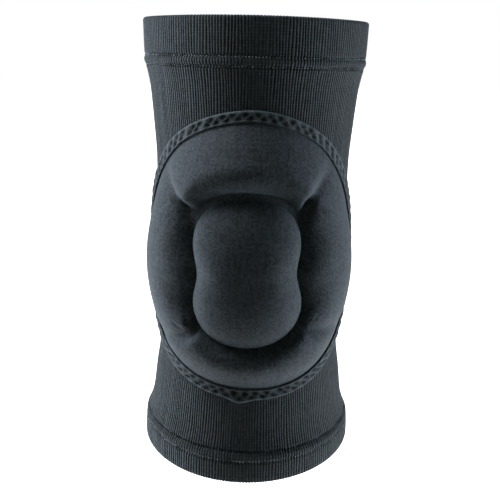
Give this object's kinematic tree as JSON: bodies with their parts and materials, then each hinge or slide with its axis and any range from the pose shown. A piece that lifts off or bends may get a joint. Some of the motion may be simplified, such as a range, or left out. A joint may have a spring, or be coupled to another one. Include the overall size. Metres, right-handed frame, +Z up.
{
  "type": "wrestling knee pad",
  "caption": "Pull-on ribbed knit knee sleeve, shown filled out as worn, with turned hems and a bound oval bubble pad of moulded foam cells over the kneecap.",
  "frame": {"origin": "in the hollow, on the sleeve's centreline at the middle of the knee bend, where the wearer's knee sits", "axes": "+Z up the thigh, -Y out of the front of the pad, +X to the right seen from the front"},
  "size_m": [0.119, 0.1592, 0.2459],
  "materials": {
    "rib_knit": "black ribbed elastic knit, matt with a pale sheen at the edges",
    "pad_jersey": "black fine stretch jersey bonded to moulded foam, matt with a soft nap",
    "binding_tape": "black folded elastic tape, zigzag stitched"
  },
  "bodies": {
    "root": {"knit_sleeve": "rib_knit", "upper_hem": "rib_knit", "lower_hem": "rib_knit", "bubble_pad": "pad_jersey", "edge_binding": "binding_tape"}
  },
  "joints": []
}
